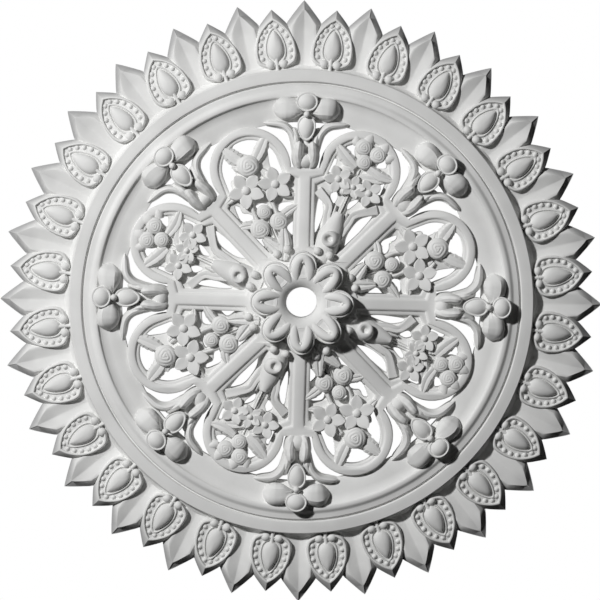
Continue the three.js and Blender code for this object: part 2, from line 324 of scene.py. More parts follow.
def plate(levels: Sequence[Sequence[np.ndarray]]) -> Shell:
    """Skins levels of loops and fills the first and the last level.

    Args:
        levels: For each level its loops: the outer edge anticlockwise, then the holes clockwise.

    Returns:
        The closed shell.
    """
    quads = []
    stride = sum(len(loop) for loop in levels[0])
    for level in range(len(levels) - 1):
        first = level * stride
        for loop in levels[0]:
            here = np.arange(len(loop))
            after = (here + 1) % len(loop)
            quads.append(first + np.stack([here, after, after + stride, here + stride], axis=1))
            first += len(loop)
    flat = [[Vector((x, y, 0)) for x, y, _ in loop] for loop in levels[-1]]
    faces = np.asarray(tessellate_polygon(flat), int)
    corners = np.concatenate(levels[-1])[faces, :2]
    one, other = corners[:, 1] - corners[:, 0], corners[:, 2] - corners[:, 0]
    area = one[:, 0] * other[:, 1] - one[:, 1] * other[:, 0]
    faces = np.where((area < 0)[:, None], faces[:, ::-1], faces)
    top = faces + (len(levels) - 1) * stride
    points = np.concatenate([np.concatenate(level) for level in levels])
    return Shell(points, np.concatenate(quads), np.concatenate([top, faces[:, ::-1]]))


def placed(name: str, data: bpy.types.ID) -> bpy.types.Object:
    """Adds an object to the scene.

    Args:
        name: Name of the object.
        data: Its mesh, light or camera.

    Returns:
        The object.
    """
    thing = bpy.data.objects.new(name, data)
    bpy.context.scene.collection.objects.link(thing)
    return thing


@dataclass
class Relief:
    """A carved piece: shells that become one mesh on the frame."""

    name: str
    shells: list[Shell] = field(default_factory=list)

    def spread(self, shell: Shell, count: int, first: float = 0.0) -> None:
        """Adds copies of a shell evenly all round, from a first angle."""
        self.shells.extend(shell.moved(first + angle) for angle in around(count))

    def build(self, finish: Material) -> None:
        """Makes the mesh, face down and in metres, and puts it on the frame.

        Args:
            finish: The material.
        """
        whole = join(self.shells)
        points = whole.points * np.array([-MM, MM, -MM])
        mesh = bpy.data.meshes.new(self.name)
        mesh.from_pydata(points.tolist(), [], whole.quads.tolist() + whole.tris.tolist())
        mesh.update()
        mesh.polygons.foreach_set("use_smooth", np.ones(len(mesh.polygons), bool))
        mesh.set_sharp_from_angle(angle=SHARP_ANGLE)
        mesh.materials.append(finish)
        piece = placed(self.name, mesh)
        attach(piece, BODY)
        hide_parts(NODE)
        LOG.info("%s: %d triangles", self.name, 2 * len(whole.quads) + len(whole.tris))


@dataclass(frozen=True)
class Border:
    """The toothed border: hollow darts and egg leaves in turn, on a thin back."""

    back: float = 1.0
    inner: float = 256.0
    foot: float = 0.5
    slab_steps: int = 32
    edge_steps: int = 60
    shoulder: float = 398.0
    front_tip: float = 417.0
    dart_reach: Floats = (326, 340, 355, 370, 384, 394, 401, 407, 412, 415, 416.6, 423, 429.4)
    dart_across: Floats = (-0.93, -0.75, -0.5, -0.25, -0.08, 0)
    dart_half: float = 24.6
    dart_taper: float = 0.92
    least_half: float = 0.3
    dart_front: float = 17.4
    front_spare: float = 4.0
    front_taper: float = 0.85
    least_front: float = 0.25
    dart_edge: float = 12.5
    edge_slope: float = 0.014
    edge_drop: float = 0.7
    dart_tip: float = 7.5
    hollow: float = 0.25
    hollow_end: float = 3.0
    hollow_round: float = 0.35
    hollow_length: float = 60.0
    egg_centre: Pair = (0.0, 366.0)
    egg_face: Pairs = (
        *((0.0, 406.3), (8.4, 400.6), (15.8, 393.0), (21.6, 385.0), (26.5, 372.7)),
        *((28.2, 358.3), (27.4, 348.3), (23.3, 341.1), (11.8, 335.8), (3.0, 338.3)),
    )
    egg_back: Pairs = (
        *((0.0, 418.6), (9.6, 408.6), (19.6, 397.0), (26.6, 384.0), (31.0, 371.0)),
        *((32.2, 358.0), (31.0, 346.5), (26.0, 337.5), (12.0, 331.5), (3.0, 334.0)),
    )
    egg: Pairs = (
        *((0.0, 389.0), (3.8, 386.0), (8.2, 378.5), (11.4, 369.0)),
        *((12.3, 360.0), (10.6, 352.0), (6.4, 347.0), (2.8, 344.5)),
    )
    egg_rims: Pairs = (
        *((1.0, -0.9), (0.985, -0.2), (0.965, 0), (0.93, -0.2)),
        *((0.91, -1.0), (0.895, -2.6), (0.87, -3.8), (0.74, -4.2)),
    )
    egg_domes: Pairs = (
        *((1.24, -4.0), (1.2, -2.2), (1.13, -1.6), (1.06, -2.4), (1.02, -4.0), (0.98, -3.4)),
        *((0.93, -1.0), (0.8, 1.6), (0.6, 3.4), (0.33, 4.4), (0.01, 4.8)),
    )
    egg_half_steps: int = 29
    rim_radius: float = 335.8
    rim_height: float = 21.5
    rim_fall: float = 0.14
    bead_count: int = 12
    bead_half: Triple = (3.9, 3.9, 3.9)
    bead_line: float = 0.775
    bead_span: float = 0.36
    bead_sink: float = 4.9
    bead_trace: int = 400
    stem: Pairs = ((0, 330), (0, 338), (0, 346), (0, 352), (0, 359))
    stem_half: Floats = (2.8, 2.8, 3.0, 4.4, 7.2)
    stem_lift: Floats = (0.2, 0.4, 0.6, 1.4, 2.0)
    stem_depth: float = 9.0
    scroll: Pair = (9.4, 339.6)
    scroll_half: Triple = (6.8, 6.2, 6.2)
    scroll_sink: float = 3.8

    def rim(self, radius: Values) -> Values:
        """Finds the height of an egg leaf's rim by the distance from the axis."""
        return self.rim_height - self.rim_fall * (radius - self.rim_radius)

    def pointed(self, half: Sequence[Pair]) -> np.ndarray:
        """Draws a leaf's outline, anticlockwise from its tip, from its right half."""
        right = curve(half, self.egg_half_steps)
        return np.vstack([right * (-1, 1), right[:0:-1]])

    def dart_back(self, radius: Values) -> Values:
        """Finds the half width of a dart at its back by the distance from the axis."""
        share = np.clip((OVERALL_RADIUS - radius) / (OVERALL_RADIUS - self.shoulder), 0, 1)
        return self.dart_half * share**self.dart_taper

    def slab(self) -> Shell:
        """Makes the thin back that darts and leaves stand on.

        Returns:
            The closed shell.
        """
        angles = around(LEAF_COUNT * self.slab_steps)
        from_dart = np.abs((angles + LEAF_STEP / 2) % LEAF_STEP - LEAF_STEP / 2)
        reach = np.linspace(self.shoulder, OVERALL_RADIUS, self.edge_steps)
        dart = np.stack([self.dart_back(reach), reach], axis=1)
        leaf = self.pointed(self.egg_back)
        leaf = leaf[(leaf[:, 0] >= 0) & (leaf[:, 1] > self.egg_centre[1])]
        outer = np.zeros_like(angles)
        for edge, local in ((dart, from_dart), (leaf, LEAF_STEP / 2 - from_dart)):
            edge_angle, edge_reach = np.arctan2(edge[:, 0], edge[:, 1]), np.hypot(edge[:, 0], edge[:, 1])
            order = np.argsort(edge_angle)
            outer = np.maximum(outer, np.interp(local, edge_angle[order], edge_reach[order], right=0))
        way = arc(1.0, angles + math.pi / 2)
        outside = outer[:, None]
        edges = ((outside, 0.0), (outside, self.back), (self.inner, self.back), (self.inner, 0.0))
        return loft([raised(way * radius, height) for radius, height in edges], wrap=True)

    def edge(self, radius: float) -> float:
        """Finds the height of a dart's front edge.

        Args:
            radius: Distance from the axis.

        Returns:
            The height above the back.
        """
        if radius > self.front_tip:
            return self.foot + self.dart_tip * (OVERALL_RADIUS - radius) / (OVERALL_RADIUS - self.front_tip)
        fall = max(radius - self.shoulder, 0) / (self.front_tip - self.shoulder)
        rise = self.edge_slope * max(self.shoulder - radius, 0)
        return self.dart_edge + rise - (self.dart_edge - self.dart_tip) * fall

    def dart(self) -> Shell:
        """Makes one dart with its hollow.

        Returns:
            The closed shell.
        """
        across = np.array(self.dart_across)
        length = self.front_tip - self.shoulder + self.front_spare
        rings = []
        for radius in self.dart_reach:
            share = float(np.clip((self.front_tip - radius) / length, 0, 1))
            front = max(self.dart_front * share**self.front_taper, self.least_front)
            half = max(float(self.dart_back(radius)), self.least_half)
            edge = self.edge(radius)
            inward = np.clip((self.shoulder - radius) / self.hollow_length, 0, 1)
            depth = self.hollow * front * min(share * self.hollow_end, 1)
            heights = edge - depth * (1 - np.abs(across) ** (1 + self.hollow_round * inward))
            left = ((-half, self.foot), (-front, edge - self.edge_drop), *zip(front * across, heights))
            rings.append([(x, radius, height) for x, height in mirrored(left)])
        return loft(rings)

    def egg_leaf(self) -> Shell:
        """Makes one egg leaf: wall, rim, channel, inner rim and egg.

        Returns:
            The closed shell.
        """
        rings = [raised(self.pointed(self.egg_back), self.foot)]
        for half, steps in ((self.egg_face, self.egg_rims), (self.egg, self.egg_domes)):
            outline = self.pointed(half)
            for share, lift in steps:
                plan = scaled(outline, self.egg_centre, share)
                rings.append(raised(plan, self.rim(plan[:, 1]) + lift))
        return loft(rings)

    def egg_trim(self) -> list[Shell]:
        """Makes the beads, stem and scrolls of one egg leaf.

        Returns:
            The closed shells.
        """
        shells = []
        outline = curve(self.pointed(self.egg_face), self.bead_trace, closed=True)
        line = scaled(outline, self.egg_centre, self.bead_line)
        for share in np.linspace(-self.bead_span, self.bead_span, self.bead_count):
            x, y = line[int(round(share * len(line))) % len(line)]
            shells.append(blob((x, y, self.rim(y) - self.bead_sink), self.bead_half, segments=10, rings=5))
        stem = np.array(self.stem, float)
        top = self.rim(stem[:, 1]) + self.stem_lift
        shells.append(ridge(stem, np.array(self.stem_half), top - self.stem_depth, top))
        x, y = self.scroll
        for side in (-x, x):
            place = (side, y, self.rim(y) - self.scroll_sink)
            shells.append(blob(place, self.scroll_half, segments=16, rings=8))
        return shells

    def carve(self) -> Relief:
        """Carves the whole border.

        Returns:
            The piece.
        """
        relief = Relief("rose_border", [self.slab()])
        relief.spread(self.dart(), LEAF_COUNT)
        relief.spread(join([self.egg_leaf(), *self.egg_trim()]), LEAF_COUNT, LEAF_STEP / 2)
        return relief


@dataclass(frozen=True)
class Ring:
    """The moulded ring with its flat band."""

    segments: int = 224
    profile: Pairs = (
        *((337.0, 0.5), (337.0, 12.0), (333.6, 14.4), (331.4, 18.0), (330.5, 27.0), (329.6, 27.9)),
        *((322.0, 28.8), (316.5, 29.4), (314.4, 29.3), (313.2, 28.2), (312.6, 25.0), (311.2, 24.8)),
        *((310.4, 28.0), (309.4, 29.1), (303.6, 29.6), (302.2, 30.0), (300.4, 31.4), (298.6, 33.0)),
        *((296.8, 33.7), (294.0, 33.8), (292.4, 33.5), (291.4, 32.6), (290.9, 30.8), (289.6, 29.6)),
        *((286.4, 28.0), (282.6, 26.7), (277.6, 26.0), (258.0, 26.0), (256.0, 25.0), (256.0, 0.5)),
    )

    def carve(self) -> Relief:
        """Turns the ring."""
        return Relief("rose_ring", [lathe(self.profile, self.segments, wrap=True)])


@dataclass(frozen=True)
class Tracery:
    """The plate of arches and spokes, with stepped edges round its openings."""

    lobe_centre: Pair = (0.0, 203.5)
    arch_outer: float = 58.0
    arch_inner: float = 40.5
    arch_foot: float = math.radians(19)
    arch_steps: int = 33
    jamb: float = 172.0
    corner: float = 161.0
    shoulder_steps: int = 6
    end: float = 82.0
    spoke_half: float = 15.0
    spoke_bevel: float = 1.2
    capital: float = 190.0
    height: float = 32.0
    rise: float = 0.13
    core: float = 40.0
    core_steps: int = 48
    levels: Pairs = (
        *((0.0, -5.4), (0.5, -4.3), (1.5, -3.7), (2.8, -3.5), (4.0, -3.6)),
        *((4.8, -3.3), (5.5, -1.8), (6.2, -0.8), (7.0, -0.25), (7.8, 0.0)),
    )
    edge_round: float = 0.03

    def face(self, plan: np.ndarray) -> np.ndarray:
        """Finds the height of the plate's face at plane points. It rises along the spokes."""
        return self.height + self.rise * np.maximum(0, self.capital - np.linalg.norm(plan, axis=1))

    def opening(self, margin: float, along: int = 10, head_steps: int = 40) -> np.ndarray:
        """Draws one opening about a lobe's axis, anticlockwise.

        Args:
            margin: Distance by which the opening is widened.
            along: Number of steps along a spoke.
            head_steps: Number of steps around the head.

        Returns:
            The points.
        """
        radius = self.arch_inner + margin
        spoke = self.spoke_half - self.spoke_bevel * margin
        half = LOBE_STEP / 2

        def edge(up: float) -> float:
            """Finds how far the spoke's edge is from the lobe's axis."""
            return (up - spoke * math.sin(half)) * math.tan(half) - spoke * math.cos(half)

        turn = self.corner + margin
        side = [(edge(up), up) for up in np.linspace(self.end - margin, turn, along, endpoint=False)]
        shoulder = np.linspace((edge(turn), turn), (radius, self.jamb + margin), self.shoulder_steps + 1)
        right = np.vstack([side, shoulder])
        head = arc(radius, np.linspace(0, math.pi, head_steps + 1)) + self.lobe_centre
        return np.vstack([right, head, (right * (-1, 1))[::-1]])

    def loops(self, margin: float) -> list[np.ndarray]:
        """Draws the plan of one level of the plate.

        Args:
            margin: Distance by which the openings are widened.

        Returns:
            The edge, the middle and the openings.
        """
        angles = np.linspace(-self.arch_foot, math.pi + self.arch_foot, self.arch_steps)
        arch = arc(self.arch_outer - self.edge_round * margin**2, angles) + self.lobe_centre
        opening = self.opening(margin)
        turns = [turning((k + 0.5) * LOBE_STEP + TRACERY_TURN) for k in range(LOBE_COUNT)]
        edge = np.concatenate([arch @ turn for turn in turns])
        middle = arc(self.core, around(self.core_steps))[::-1]
        return [edge, middle, *((opening @ turn)[::-1] for turn in turns)]

    def carve(self) -> Relief:
        """Carves the plate.

        Returns:
            The piece.
        """
        stack = [[raised(plan, 0.0) for plan in self.loops(0.0)]]
        for margin, drop in self.levels:
            stack.append([raised(plan, self.face(plan) + drop) for plan in self.loops(margin)])
        return Relief("rose_tracery", [plate(stack)])


@dataclass(frozen=True)
class Rose:
    """A round flower: its place, radius and way of carving."""

    x: float
    y: float
    radius: float
    kind: RoseKind = RoseKind.BUD
    lift: float = 0.0


@dataclass(frozen=True)
class Star:
    """A flower with five petals: its place, radius and turn in degrees."""

    x: float
    y: float
    radius: float
    turn: float


@dataclass(frozen=True)
class Frond:
    """A leaf, stalk or arm along a route of (x, y), with its half width, lift and cross-section."""

    route: Pairs
    half: float
    lift: float = 0.0
    section: Section = Section.FOLDED
    pointed: bool = True
    teeth: int = 0


@dataclass(frozen=True)
class Garden:
    """One flower group: the holes of its web and what grows on it."""

    holes: tuple[Pairs, ...]
    roses: tuple[Rose, ...]
    stars: tuple[Star, ...]
    fronds: tuple[Frond, ...]
    berries: Pairs


GARDENS = (
    Garden(
        holes=(
            ((-17, 239), (-2, 247), (16, 246), (30, 236), (8, 220), (-1, 225)),
            ((-30, 234), (-25, 227), (-22, 196), (-34, 197), (-35, 179), (-44, 179), (-44, 210)),
            ((35, 230), (45, 208), (42, 186), (33, 173), (26, 194)),
            ((-41, 162), (-34, 158), (-34, 147), (-24, 143), (-19, 134), (-40, 134)),
            ((-13, 151), (-3, 152), (7, 145), (-11, 145)),
            ((21, 143), (38, 138), (36, 129), (14, 131)),
            ((-31, 113), (-24, 106), (-16, 101), (-22, 90)),
            ((17, 107), (32, 113), (29, 102), (22, 91)),
        ),
        roses=(Rose(-2, 208, 15.6, lift=4), Rose(-18, 118, 14.0), Rose(11, 119, 13.0), Rose(-4, 139, 10.5)),
        stars=(Star(-17, 176, 26, 34), Star(25, 170, 25, 13)),
        fronds=(
            Frond(((-9, 214), (-17, 226), (-27, 243)), 11, 1, teeth=5),
            Frond(((10, 211), (22, 222), (38, 239)), 10, 1, teeth=5),
            Frond(((-6, 196), (-12, 205), (-24, 215)), 6),
            Frond(((14, 196), (19, 186), (27, 176)), 6),
            Frond(((14, 122), (28, 127), (46, 131)), 7, 1, teeth=4),
            Frond(((-22, 124), (-32, 128), (-46, 130)), 7, 1, teeth=4),
            Frond(((9, 160), (12, 146), (12, 126)), 5, -2, Section.ROUND, pointed=False),
            Frond(((-14, 164), (-18, 148), (-17, 128)), 5, -3, Section.ROUND, pointed=False),
            Frond(((-2, 134), (-3, 112), (-2, 78)), 7, -4, Section.RIBBED, pointed=False),
            Frond(((3, 66), (-6, 84), (-18, 104)), 11, 9, teeth=4),
            Frond(((-3, 66), (7, 86), (14, 107)), 11, 10, teeth=4),
            Frond(((24, 160), (34, 152), (46, 146)), 6),
            Frond(((-28, 176), (-40, 172), (-50, 168)), 6),
        ),
        berries=((-8, 77), (8, 78)),
    ),
    Garden(
        holes=(
            ((-20, 238), (-19, 227), (-12, 217), (-34, 226)),
            ((25, 235), (35, 223), (17, 216)),
            ((-44, 206), (-35, 206), (-35, 185), (-43, 185)),
            ((36, 203), (44, 196), (42, 184), (32, 184)),
            ((-19, 165), (-13, 157), (-14, 145), (-26, 156)),
            ((3, 156), (14, 167), (16, 162), (6, 144)),
            ((-39, 146), (-32, 144), (-22, 128), (-21, 94), (-29, 111)),
            ((43, 154), (42, 146), (25, 92), (20, 112), (26, 140)),
        ),
        roses=(
            Rose(-9, 237, 12.0),
            Rose(14, 235, 12.0),
            Rose(0, 218, 11.0),
            Rose(3, 100, 11.5, RoseKind.TUBE, 10),
        ),
        stars=(Star(-24, 181, 20, 56), Star(0, 179, 17, 18), Star(24, 180, 20, 56)),
        fronds=(
            Frond(((-7, 243), (-6, 250), (-5, 258)), 10, 2, Section.ROUND),
            Frond(((17, 241), (19, 248), (21, 255)), 10, 2, Section.ROUND),
            Frond(((-18, 236), (-22, 242), (-25, 250)), 8, 1, Section.ROUND),
            Frond(((26, 232), (33, 238), (39, 241)), 8, 1, Section.ROUND),
            Frond(((10, 212), (28, 208), (48, 210)), 9, 2, teeth=4),
            Frond(((-8, 206), (-26, 214), (-46, 226)), 10, 2, teeth=4),
            Frond(((0, 190), (18, 199), (37, 203)), 8, 1),
            Frond(((-8, 200), (-18, 196), (-30, 188)), 8, 1),
            Frond(((-1, 206), (-1, 160), (-2, 108)), 6, -3, Section.RIBBED, pointed=False),
            Frond(((-8, 104), (-17, 126), (-22, 143), (-44, 155)), 7, -1, Section.CUPPED, pointed=False),
            Frond(((9, 104), (15, 130), (19, 144), (45, 163)), 7, -1, Section.CUPPED, pointed=False),
            Frond(((0, 62), (-1, 92), (-2, 138)), 18, 7, Section.ROUND),
            Frond(((-4, 108), (-9, 126), (-11, 146)), 4, -2, Section.ROUND),
            Frond(((3, 108), (7, 124), (8, 142)), 4, -2, Section.ROUND),
        ),
        berries=((-9, 76), (9, 77), (-10, 168), (10, 170)),
    ),
)


@dataclass(frozen=True)
class Swelling:
    """How the width of a petal or leaf grows and falls along it: a part of a wave, sharpened."""

    start: float
    length: float
    power: float
    least: float

    def at(self, share: np.ndarray) -> np.ndarray:
        """Finds the share of the full width by the share of the length."""
        wave = np.sin(math.pi * (self.start + self.length * share))
        return np.clip(wave**self.power, self.least, 1)


@dataclass(frozen=True)
class FlowerGroups:
    """The flower groups that fill the openings of the tracery."""

    tracery: Tracery
    web_margin: float = 8.0
    web_along: int = 4
    web_head: int = 16
    web_levels: Pairs = ((0.4, 0.0), (23.5, 0.2), (25.4, 0.8), (26.0, 2.0))
    lift: float = 6.0
    slope: float = 0.09
    foot: float = 16.0
    bud_rings: int = 15
    bud_around: int = 36
    bud_dome: float = 0.62
    bud_reach: Pair = (0.97, 0.04)
    bud_bulge: float = 0.95
    bud_side: Pairs = ((0.84, 1.0), (0.97, 0.7), (1.0, 0.54))
    bud_foot: float = 0.8
    bud_turns: float = 3.2
    bud_lobes: int = 3
    bud_lobe: float = 0.55
    bud_groove: float = 0.075
    tube_side: Pairs = ((1.0, 9.0), (0.99, 4.0), (0.93, 1.4), (0.8, 0.2), (0.62, 0.0))
    tube_mouth: Pairs = ((0.48, 0.8), (0.4, 2.6), (0.34, 5.0), (0.02, 5.6))
    tube_lean: Pair = (-5.5, -2.2)
    tube_length: float = 11.0
    star_petals: int = 5
    star_steps: int = 9
    star_middle: float = 0.24
    star_sink: float = 4.4
    star_start: float = 0.12
    star_half: float = 0.36
    star_swelling: Swelling = Swelling(start=0.06, length=0.9, power=0.8, least=0.08)
    star_rise: float = 5.2
    star_droop: float = 1.6
    star_droop_power: int = 4
    star_foot: float = 20.0
    frond_steps: int = 17
    toothed_steps: int = 41
    frond_swelling: Swelling = Swelling(start=0.18, length=0.76, power=0.6, least=0.1)
    frond_waist: float = 0.25
    frond_arch: float = 1.5
    frond_foot: float = 14.0
    tooth: float = 0.12
    berry_half: Triple = (6.0, 6.0, 6.0)
    berry_lift: float = -3.0
    inner_berry: float = 100.0
    inner_berry_lift: float = 9.0

    def height(self, x: float, y: float, lift: float) -> float:
        """Finds the height of a form's top by its place and its lift against the arches."""
        inward = max(0.0, self.tracery.capital - math.hypot(x, y))
        return self.tracery.height + lift + self.slope * inward

    def web(self, holes: Iterable[Sequence[Pair]]) -> Shell:
        """Makes the pierced web under the flowers.

        Args:
            holes: Corners of each hole.

        Returns:
            The closed shell.
        """
        outer = self.tracery.opening(self.web_margin, self.web_along, self.web_head)
        inner = [rounded(corners)[::-1] for corners in holes]
        levels = []
        for height, inset in self.web_levels:
            plans = [outer, *(hole - normals(hole) * inset for hole in inner)]
            levels.append([raised(plan, height) for plan in plans])
        return plate(levels)

    def rose(self, rose: Rose) -> Shell:
        """Carves a round flower.

        Args:
            rose: The flower.

        Returns:
            The closed shell.
        """
        top = self.height(rose.x, rose.y, self.lift + rose.lift)
        carve = self.tube if rose.kind is RoseKind.TUBE else self.bud
        return carve(rose.radius, top).moved(shift=(rose.x, rose.y, 0))

    def tube(self, radius: float, top: float) -> Shell:
        """Carves the leaning mouth of a trumpet flower.

        Args:
            radius: Radius of the mouth.
            top: Height of its rim.

        Returns:
            The closed shell, about the rose's axis.
        """
        wall = [(radius * share, top - fall) for share, fall in (*self.tube_side, *self.tube_mouth)]
        shell = lathe([(radius, self.foot), *wall], self.bud_around)
        rise = np.clip(1 + (shell.points[:, 2] - top) / self.tube_length, 0, 1)
        shell.points[:, :2] += np.outer(rise, self.tube_lean)
        return shell

    def bud(self, radius: float, top: float) -> Shell:
        """Carves a bud with petals wound round its middle.

        Args:
            radius: Radius of the bud.
            top: Height of its top.

        Returns:
            The closed shell, about the rose's axis.
        """
        shares = np.linspace(*self.bud_reach, self.bud_rings)
        falls = self.bud_dome * (1 - np.sqrt(1 - (self.bud_bulge * shares) ** 2))
        profile = (*self.bud_side, *zip(shares, falls))
        wall = [(radius * share, top - radius * fall) for share, fall in profile]
        shell = lathe([(radius * self.bud_foot, self.foot), *wall], self.bud_around)
        reach = np.hypot(shell.points[:, 0], shell.points[:, 1]) / radius
        angle = np.arctan2(shell.points[:, 1], shell.points[:, 0])
        lobes = self.bud_lobe * np.sin(self.bud_lobes * angle)
        winding = math.pi * self.bud_turns * reach + angle / 2 + lobes
        upper = shell.points[:, 2] > top - radius * self.bud_dome
        shell.points[:, 2] -= radius * self.bud_groove * (1 - np.abs(np.sin(winding))) * upper
        return shell

    def star(self, star: Star) -> Shell:
        """Carves a flower with five petals.

        Args:
            star: The flower.

        Returns:
            The closed shells as one.
        """
        low = self.height(star.x, star.y, self.lift) - self.star_sink
        middle = star.radius * self.star_middle
        shells = [blob((star.x, star.y, low), (middle, middle, self.star_sink), segments=14, rings=7)]
        share = np.linspace(0, 1, self.star_steps)
        reach = star.radius * np.linspace(self.star_start, 1, self.star_steps)
        half = star.radius * self.star_half * self.star_swelling.at(share)
        crest = low + self.star_rise * share - self.star_droop * share**self.star_droop_power
        for angle in math.radians(star.turn) + around(self.star_petals):
            route = np.outer(reach, (math.cos(angle), math.sin(angle))) + (star.x, star.y)
            shells.append(ridge(route, half, self.star_foot, crest, Section.CUPPED))
        return join(shells)

    def frond(self, frond: Frond) -> Shell:
        """Carves a leaf, stalk or arm.

        Args:
            frond: The frond.

        Returns:
            The closed shell.
        """
        count = self.toothed_steps if frond.teeth else self.frond_steps
        route = curve(frond.route, count)
        share = np.linspace(0, 1, count)
        wave = np.sin(math.pi * share)
        if frond.pointed:
            half = frond.half * self.frond_swelling.at(share)
        else:
            half = frond.half * (1 - self.frond_waist * wave)
        if frond.teeth:
            half = half * (1 + self.tooth * (0.5 - (frond.teeth * share) % 1))
        crest = np.array([self.height(x, y, frond.lift) for x, y in route])
        return ridge(route, half, self.frond_foot, crest + self.frond_arch * (wave - share), frond.section)

    def berry(self, x: float, y: float) -> Shell:
        """Carves a berry. Those near the centre stand higher."""
        lift = self.inner_berry_lift if y < self.inner_berry else self.berry_lift
        return blob((x, y, self.height(x, y, lift)), self.berry_half, segments=16, rings=8)

    def group(self, garden: Garden) -> Shell:
        """Carves one flower group.

        Args:
            garden: The group.

        Returns:
            The closed shells as one.
        """
        shells = [self.web(garden.holes)]
        shells.extend(self.rose(rose) for rose in garden.roses)
        shells.extend(self.star(star) for star in garden.stars)
        shells.extend(self.frond(frond) for frond in garden.fronds)
        shells.extend(self.berry(*berry) for berry in garden.berries)
        return join(shells)

    def carve(self) -> Relief:
        """Carves every flower group, the designs in turn.

        Returns:
            The piece.
        """
        relief = Relief("rose_flowers")
        count = LOBE_COUNT // len(GARDENS)
        for k, garden in enumerate(GARDENS):
            relief.spread(self.group(garden), count, (k + 0.5) * LOBE_STEP + TRACERY_TURN)
        return relief


@dataclass(frozen=True)
class Petal:
    """A cupped petal: its place, half sizes along and across, taper towards its root and height."""

    place: Pair
    along: float
    across: float
    taper: float
    height: float


@dataclass(frozen=True)
class Strip:
    """A form along a route: half widths and heights along it, cross-section, length against its ends."""

    route: Pairs
    half: Floats
    crest: Floats
    section: Section = Section.ROUND
    ends: float = 8.0


@dataclass(frozen=True)
class SpokeFlowers:
    """The flower on the end of each spoke, with its calyx and two curled leaves."""

    foot: float = 1.2
    petals: tuple[Petal, ...] = (
        Petal((0.0, 284.5), 13.5, 15.2, 0.0, 49.0),
        Petal((0.0, 247.5), 18.0, 12.8, 0.16, 46.0),
    )
    petal_steps: int = 44
    cup: Pairs = (
        *((1.0, -8.0), (1.03, -4.6), (1.01, -2.2), (0.95, -1.5), (0.89, -1.7), (0.83, -2.2)),
        *((0.78, -1.6), (0.66, 0.0), (0.48, 1.8), (0.26, 2.8), (0.02, 3.1)),
    )
    wing: Strip = Strip(
        ((5.0, 269.0), (16.0, 273.0), (30.0, 274.5), (47.5, 271.5)),
        (6.0, 12.5, 15.5, 16.5, 16.0, 13.0),
        (44.0, 46.5, 47.5, 47.0, 44.0, 37.0),
        Section.PLEATED,
        ends=3.0,
    )
    leaf: Strip = Strip(
        ((11.5, 203.0), (14.2, 216.0), (17.4, 229.5), (22.8, 242.0), (35.5, 251.0), (63.0, 253.2)),
        (5.5, 6.3, 6.5, 6.5, 5.8, 3.4),
        (34.0, 38.0, 40.0, 39.0, 36.0, 31.0),
    )
    lip: Strip = Strip(((14.0, 214.0), (14.0, 230.0), (20.0, 248.0)), (5.0, 6.0, 6.0), (40.0, 42.0, 33.0))
    lobe: Strip = Strip(
        ((3.0, 190.0), (8.6, 196.5), (11.0, 208.0), (10.4, 218.0), (9.2, 229.0)),
        (7.5, 9.0, 9.0, 8.2, 6.6),
        (33.0, 41.0, 46.0, 48.0, 46.0),
    )
    strip_steps: int = 24
    end_drop: float = 6.0
    least_end: float = 0.02
    knob: Triple = (0, 266.5, 47)
    knob_half: Triple = (4.8, 4.8, 6.0)
    bowl: Triple = (0, 201, 25)
    bowl_half: Triple = (16.5, 12, 16)
    keel: Triple = (0, 222, 18)
    keel_half: Triple = (11, 18, 11)

    def cupped(self, petal: Petal) -> Shell:
        """Carves one petal: a wall, a raised rim and a dome inside it.

        Args:
            petal: The petal.

        Returns:
            The closed shell.
        """
        angles = around(self.petal_steps)
        half = petal.across * (1 + petal.taper * np.cos(angles))
        plan = np.stack([-half * np.sin(angles), petal.along * np.cos(angles)], axis=1)
        rings = [raised(plan + petal.place, self.foot)]
        for share, lift in self.cup:
            rings.append(raised(plan * share + petal.place, petal.height + lift))
        return loft(rings)

    def swept(self, strip: Strip, side: int) -> Shell:
        """Sweeps a form with changing width and height and with round ends.

        Args:
            strip: The form.
            side: -1 for the left of the spoke, 1 for the right.

        Returns:
            The closed shell.
        """
        route = curve([(side * x, y) for x, y in strip.route], self.strip_steps)
        share = np.linspace(0, 1, self.strip_steps)
        half = np.interp(share, np.linspace(0, 1, len(strip.half)), strip.half)
        crest = np.interp(share, np.linspace(0, 1, len(strip.crest)), strip.crest)
        end = np.clip(np.minimum(share, 1 - share) * strip.ends, self.least_end, 1)
        half = half * np.sqrt(end * (2 - end))
        return ridge(route, half, self.foot, crest - self.end_drop * (1 - end) ** 2, strip.section)

    def carve(self) -> Relief:
        """Carves the flower on every spoke.

        Returns:
            The piece.
        """
        flower = [self.cupped(petal) for petal in self.petals]
        flower.append(blob(self.knob, self.knob_half, segments=16, rings=8))
        flower.append(blob(self.bowl, self.bowl_half, segments=28, rings=10))
        flower.append(blob(self.keel, self.keel_half, segments=24, rings=8))
        for side in (-1, 1):
            flower.extend(self.swept(strip, side) for strip in (self.wing, self.leaf, self.lip, self.lobe))
        relief = Relief("rose_spoke_flowers")
        relief.spread(join(flower), LOBE_COUNT, TRACERY_TURN)
        return relief


